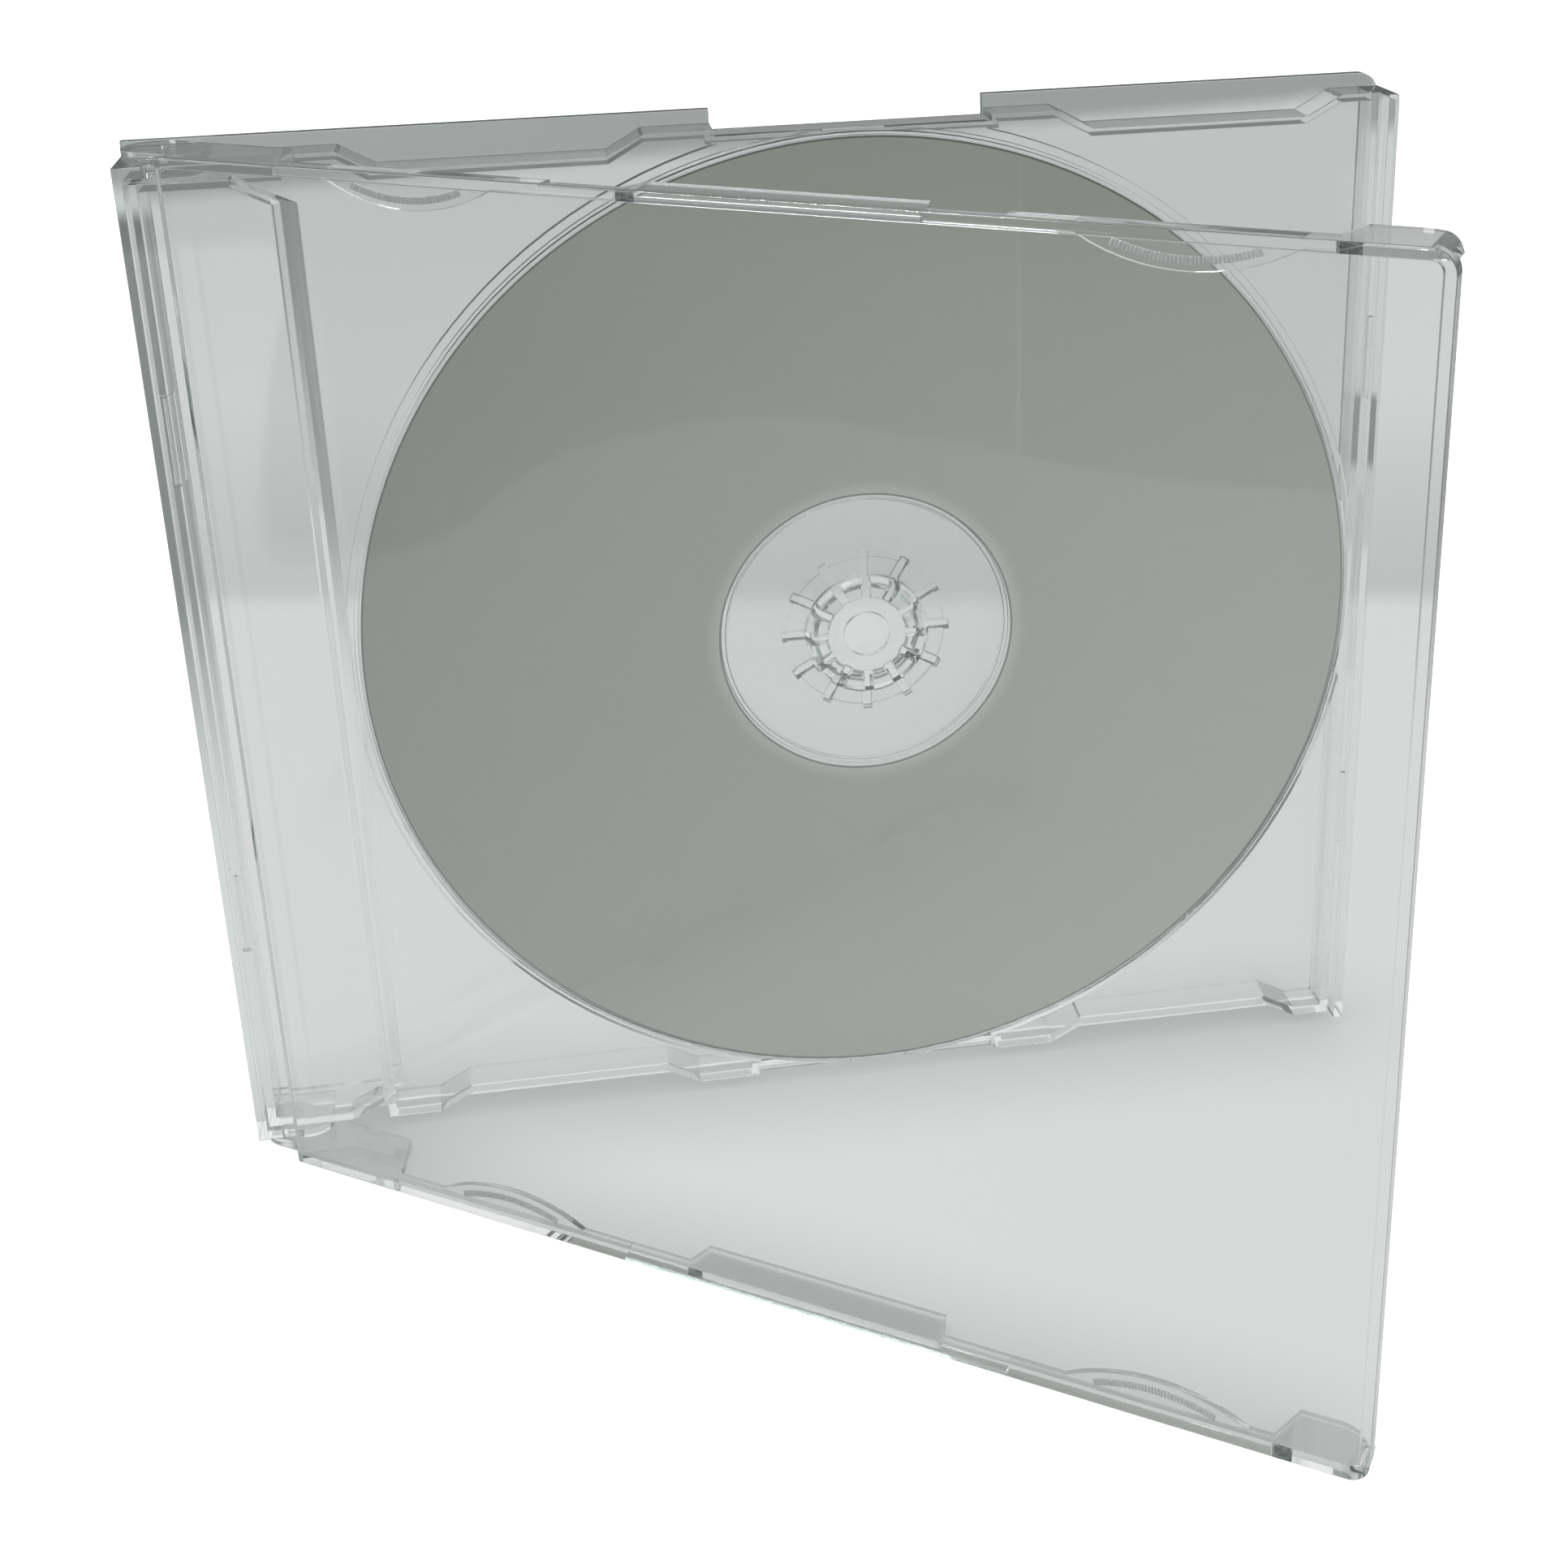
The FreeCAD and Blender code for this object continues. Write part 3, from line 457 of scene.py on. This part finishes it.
def flat_ring(name, inner, outer, front, thickness):
    """Thin ring about the disc's axis that starts at a Y place and grows away from the viewer."""
    deselect()
    bpy.ops.mesh.primitive_circle_add(
        vertices=RING_SIDES, radius=outer, fill_type="NOTHING",
        location=(DISC_CENTRE.x, front, DISC_CENTRE.z), rotation=(math.pi / 2, 0, 0))
    ring = bpy.context.object
    ring.name = name
    settle(ring)
    bpy.ops.object.mode_set(mode="EDIT")
    bpy.ops.mesh.select_all(action="SELECT")
    bpy.ops.mesh.extrude_edges_move()
    share = inner / outer
    bpy.ops.transform.resize(value=(share, 1, share),
                             center_override=(DISC_CENTRE.x, front, DISC_CENTRE.z))
    bpy.ops.mesh.select_all(action="SELECT")
    bpy.ops.mesh.extrude_region_move(TRANSFORM_OT_translate={"value": (0, thickness, 0)})
    bpy.ops.mesh.select_all(action="SELECT")
    bpy.ops.mesh.normals_make_consistent(inside=False)
    bpy.ops.object.mode_set(mode="OBJECT")
    return ring


def tab_ridges(name, along, side, looks):
    """Row of ridges along one tab's edge; side is 1 at the cover's foot and -1 at its top."""
    reach = looks.radius - looks.inset
    height = looks.height - looks.gap - looks.thickness / 2
    centre = Vector((along, side * looks.centre, height))
    start = -side * math.pi / 2 + looks.span / 2
    deselect()
    bpy.ops.mesh.primitive_cylinder_add(
        vertices=RIDGE_SIDES, radius=looks.thickness / 2, depth=looks.length,
        rotation=(0, math.pi / 2, start),
        location=centre + reach * Vector((math.cos(start), math.sin(start), 0)))
    ridges = bpy.context.object
    ridges.name = name
    settle(ridges)
    bpy.ops.object.mode_set(mode="EDIT")
    bpy.ops.mesh.select_all(action="SELECT")
    bpy.ops.mesh.spin(steps=looks.count - 1, dupli=True, angle=looks.span, center=centre,
                      axis=(0, 0, 1))
    bpy.ops.object.mode_set(mode="OBJECT")
    ridges.location = LID_PLACE
    ridges.rotation_euler = LID_TURN
    settle(ridges)
    return ridges


def card_material(looks):
    """White card for the lens; the case shows it as a table in a dim room."""
    material, tree, output = new_material("white_card")
    place = add_node(tree, "ShaderNodeTexCoord").outputs["Object"]
    parts = add_node(tree, "ShaderNodeSeparateXYZ", {"Vector": place})
    x, y = parts.outputs["X"], parts.outputs["Y"]
    # Far edge of the table, which runs at a slant behind the case, and the wall behind it.
    slant = weighted(tree, x, looks.table_slant, y)
    past = ramp(tree, slant, (looks.table_back - looks.blur, looks.table_back + looks.blur))
    rise = ramp(tree, slant, (looks.table_back, looks.table_back + WALL_RISE))
    wall = blend(tree, rise, looks.skirting, looks.behind)
    # Near edge of the table, which bows towards the lens.
    across = add_node(tree, "ShaderNodeMapRange",
                      {"Value": x, "From Min": TABLE_SPAN[0], "From Max": TABLE_SPAN[1]})
    bow = add_node(tree, "ShaderNodeFloatCurve", {"Value": across.outputs["Result"]})
    curve = bow.mapping.curves[0]
    for spot, height in TABLE_FRONT[1:-1]:
        curve.points.new(spot, height)
    curve.points[0].location = TABLE_FRONT[0]
    curve.points[-1].location = TABLE_FRONT[-1]
    for point in curve.points:
        point.handle_type = "AUTO_CLAMPED"
    bow.mapping.update()
    front = weighted(tree, bow.outputs["Value"], TABLE_DEPTH, y)
    near = ramp(tree, front, (-looks.blur / 2, looks.blur / 2))
    # Floor far behind the table.
    far = ramp(tree, weighted(tree, x, FAR_FLOOR_SLOPE, y), FAR_FLOOR)
    # Both sides behind the case, which flare out with the distance.
    off = size_of(tree, weighted(tree, y, SIDE_LEAN, x))
    outside = ramp(tree, weighted(tree, y, SIDE_FLARE, off), SIDE_EDGE)
    beside = ramp(tree, y, SIDE_START, **{"To Max": outside})
    # Left of the case, where the light falls off towards the lens.
    left = ramp(tree, x, LEFT_EDGE)
    front_left = ramp(tree, y, LEFT_START, **{"To Max": left})
    # Painted shade for the spine's walls: a dark stripe behind the disc, which hides it from all but
    # the spine's mirroring walls.
    lane = weighted(tree, y, STRIPE_SLOPE, x)
    apart = add_node(tree, "ShaderNodeMath", {0: lane, 1: STRIPE_PLACE}, operation="ADD")
    inside = ramp(tree, size_of(tree, apart.outputs["Value"]), STRIPE_EDGE)
    begun = ramp(tree, y, STRIPE_START, **{"To Max": inside})
    ended = ramp(tree, y, STRIPE_END, **{"To Max": begun})
    # Plain reflections and the disc's mirror layer, which needs more bounces, don't show it.
    path = add_node(tree, "ShaderNodeLightPath")
    early = add_node(tree, "ShaderNodeMath", {0: path.outputs["Ray Depth"], 1: STRIPE_DEPTH},
                     operation="LESS_THAN")
    inner = add_node(tree, "ShaderNodeMath",
                     {0: early.outputs["Value"], 1: path.outputs["Is Transmission Ray"]},
                     operation="MULTIPLY")
    stripe = add_node(tree, "ShaderNodeMapRange",
                      {"Value": inner.outputs["Value"], "To Max": ended}).outputs["Result"]
    # The dim room, far away on every side.
    reach = add_node(tree, "ShaderNodeVectorMath", {0: place}, operation="LENGTH")
    away = ramp(tree, reach.outputs["Value"], ROOM_EDGE)
    light = looks.before
    for share, other in ((near, looks.table), (past, wall), (far, looks.far_floor),
                         (beside, looks.aside), (front_left, looks.before),
                         (stripe, looks.stripe), (away, looks.surround)):
        light = blend(tree, share, light, other)
    # The case shades the table where it stands, and the light leans to the left.
    lean = add_node(tree, "ShaderNodeMapRange",
                    {"Value": x, "From Min": LEAN_SPAN[0], "From Max": LEAN_SPAN[1],
                     "To Min": 1 + looks.lean, "To Max": 1 - looks.lean})
    open_sky = add_node(tree, "ShaderNodeAmbientOcclusion", {"Distance": looks.shadow_reach},
                        samples=4)
    shade = add_node(tree, "ShaderNodeMapRange",
                     {"Value": open_sky.outputs["AO"], "To Min": looks.shadow,
                      "To Max": lean.outputs["Result"]})
    table = add_node(tree, "ShaderNodeEmission",
                     {"Color": light, "Strength": shade.outputs["Result"]})
    card = add_node(tree, "ShaderNodeBsdfPrincipled",
                    {"Base Color": looks.floor, "Roughness": 0.8,
                     "Emission Color": looks.floor, "Emission Strength": looks.floor_glow})
    shown = add_node(tree, "ShaderNodeMixShader",
                     {0: path.outputs["Is Camera Ray"], 1: table.outputs["Emission"],
                      2: card.outputs["BSDF"]})
    tree.links.new(shown.outputs["Shader"], output.inputs["Surface"])
    return material


def studio_world(looks):
    """Dim room with a bright ceiling; plain white to the lens."""
    world = bpy.data.worlds.new("soft_studio")
    world.use_nodes = True
    tree = world.node_tree
    tree.nodes.clear()
    place = add_node(tree, "ShaderNodeTexCoord")
    parts = add_node(tree, "ShaderNodeSeparateXYZ", {"Vector": place.outputs["Generated"]})
    room = blend(tree, ramp(tree, parts.outputs["Z"], SKY_RISE), looks.surround, looks.ceiling)
    path = add_node(tree, "ShaderNodeLightPath")
    seen = blend(tree, path.outputs["Is Camera Ray"], room, (1, 1, 1, 1))
    background = add_node(tree, "ShaderNodeBackground", {"Color": seen})
    sky = add_node(tree, "ShaderNodeOutputWorld")
    tree.links.new(background.outputs["Background"], sky.inputs["Surface"])
    return world


class CASE_OT_covers(bpy.types.Operator):
    """Gives the front and back covers clear polystyrene"""

    bl_idname = "case.covers"
    bl_label = "Finish Covers"

    def execute(self, context):
        looks = context.scene.case_covers
        # Clear polystyrene, injection moulded in a polished tool: bright, glassy, a trace grey.
        plastic = clear_plastic("clear_polystyrene_cover", looks, POLYSTYRENE_IOR,
                                context.scene.case_plastic)
        for name in ("front_cover", "back_cover"):
            dress(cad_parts[name], plastic)
        return {"FINISHED"}


class CASE_OT_tray(bpy.types.Operator):
    """Gives the disc tray clear polystyrene"""

    bl_idname = "case.tray"
    bl_label = "Finish Tray"

    def execute(self, context):
        looks = context.scene.case_tray
        # The same plastic with thinner walls and a slightly duller tool face.
        plastic = clear_plastic("clear_polystyrene_tray", looks, POLYSTYRENE_IOR,
                                context.scene.case_plastic)
        dress(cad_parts["disc_tray"], plastic)
        return {"FINISHED"}


class CASE_OT_disc(bpy.types.Operator):
    """Makes the disc clear and adds its mirror layer and grey lacquer"""

    bl_idname = "case.disc"
    bl_label = "Build Disc Layers"

    def execute(self, context):
        looks = context.scene.case_disc
        # Clear polycarbonate: the disc's body, seen at its rim and its middle.
        dress(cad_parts["disc"],
              clear_plastic("clear_polycarbonate", looks, POLYCARBONATE_IOR,
                            context.scene.case_plastic))
        front = DISC_LOW.y - 2 * looks.layer
        lacquer = flat_ring("disc_lacquer", looks.inner_radius, looks.outer_radius,
                            front - looks.layer, looks.layer)
        dress(lacquer, lacquer_material(looks))
        mirror = flat_ring("disc_mirror", looks.inner_radius, looks.outer_radius,
                           front + looks.layer / 2, looks.layer)
        dress(mirror, mirror_material())
        for layer in (lacquer, mirror):
            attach(layer, "back")
        return {"FINISHED"}


class CASE_OT_ridges(bpy.types.Operator):
    """Adds the fine grip ridges to the front cover's tabs"""

    bl_idname = "case.ridges"
    bl_label = "Build Tab Ridges"

    def execute(self, context):
        looks = context.scene.case_ridges
        # The cover's own polystyrene, white where its fine ridges scatter the light.
        plastic = clear_plastic("clear_polystyrene_ridge", looks, POLYSTYRENE_IOR,
                                context.scene.case_plastic)
        for height, side in (("foot", 1), ("top", -1)):
            for end, along in (("spine", looks.spine_tab), ("free", looks.free_tab)):
                ridges = tab_ridges(f"tab_ridges_{height}_{end}", along, side, looks)
                dress(ridges, plastic)
                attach(ridges, "front")
        return {"FINISHED"}


class CASE_OT_stage(bpy.types.Operator):
    """Adds the floor, the soft light and the camera"""

    bl_idname = "case.stage"
    bl_label = "Set Stage"

    def execute(self, context):
        looks = context.scene.case_stage
        deselect()
        bpy.ops.mesh.primitive_plane_add(size=looks.floor_size, location=(0, 0, -FLOOR_GAP))
        floor = context.object
        floor.name = "floor"
        dress(floor, card_material(looks))
        context.scene.world = studio_world(looks)
        for name, place, size, power in LAMPS:
            bpy.ops.object.light_add(type="AREA", location=place)
            lamp = context.object
            lamp.name = name
            lamp.data.size = size
            lamp.data.energy = power
            lamp.visible_diffuse = False
            lamp.rotation_euler = (AIM - lamp.location).to_track_quat("-Z", "Y").to_euler()

        data = bpy.data.cameras.new("camera")
        camera = bpy.data.objects.new("camera", data)
        context.scene.collection.objects.link(camera)
        camera.location = looks.camera_place
        camera.rotation_euler = looks.camera_turn
        data.sensor_fit = "HORIZONTAL"
        data.sensor_width = 36.0
        data.lens = looks.camera_lens
        data.shift_x, data.shift_y = looks.camera_shift
        data.clip_start = 0.01
        context.scene.camera = camera
        context.scene.cycles.max_bounces = BOUNCES
        context.scene.cycles.transmission_bounces = BOUNCES
        context.scene.cycles.glossy_bounces = BOUNCES
        context.scene.view_settings.view_transform = "Standard"
        return {"FINISHED"}


OPERATORS = (CASE_OT_covers, CASE_OT_tray, CASE_OT_disc, CASE_OT_ridges, CASE_OT_stage)
GROUPS = {
    "case_plastic": PlasticLooks,
    "case_covers": CoverLooks,
    "case_tray": TrayLooks,
    "case_disc": DiscLooks,
    "case_ridges": RidgeLooks,
    "case_stage": StageLooks,
}


class CASE_PT_panel(bpy.types.Panel):
    """Lists the sizes, colours and steps of the disc case"""

    bl_label = "Disc Case"
    bl_idname = "CASE_PT_panel"
    bl_space_type = "VIEW_3D"
    bl_region_type = "UI"
    bl_category = "Disc Case"

    def draw(self, context):
        for name, group in GROUPS.items():
            looks = getattr(context.scene, name)
            box = self.layout.box()
            for prop in group.__annotations__:
                box.prop(looks, prop)
        for operator in OPERATORS:
            self.layout.operator(operator.bl_idname)


CLASSES = (*GROUPS.values(), *OPERATORS, CASE_PT_panel)


def register():
    for item in CLASSES:
        bpy.utils.register_class(item)
    for name, group in GROUPS.items():
        setattr(bpy.types.Scene, name, bpy.props.PointerProperty(type=group))


def unregister():
    for name in GROUPS:
        delattr(bpy.types.Scene, name)
    for item in reversed(CLASSES):
        bpy.utils.unregister_class(item)


def main():
    register()
    bpy.ops.case.covers()
    bpy.ops.case.tray()
    bpy.ops.case.disc()
    bpy.ops.case.ridges()
    bpy.ops.case.stage()


if __name__ == "__main__":
    main()
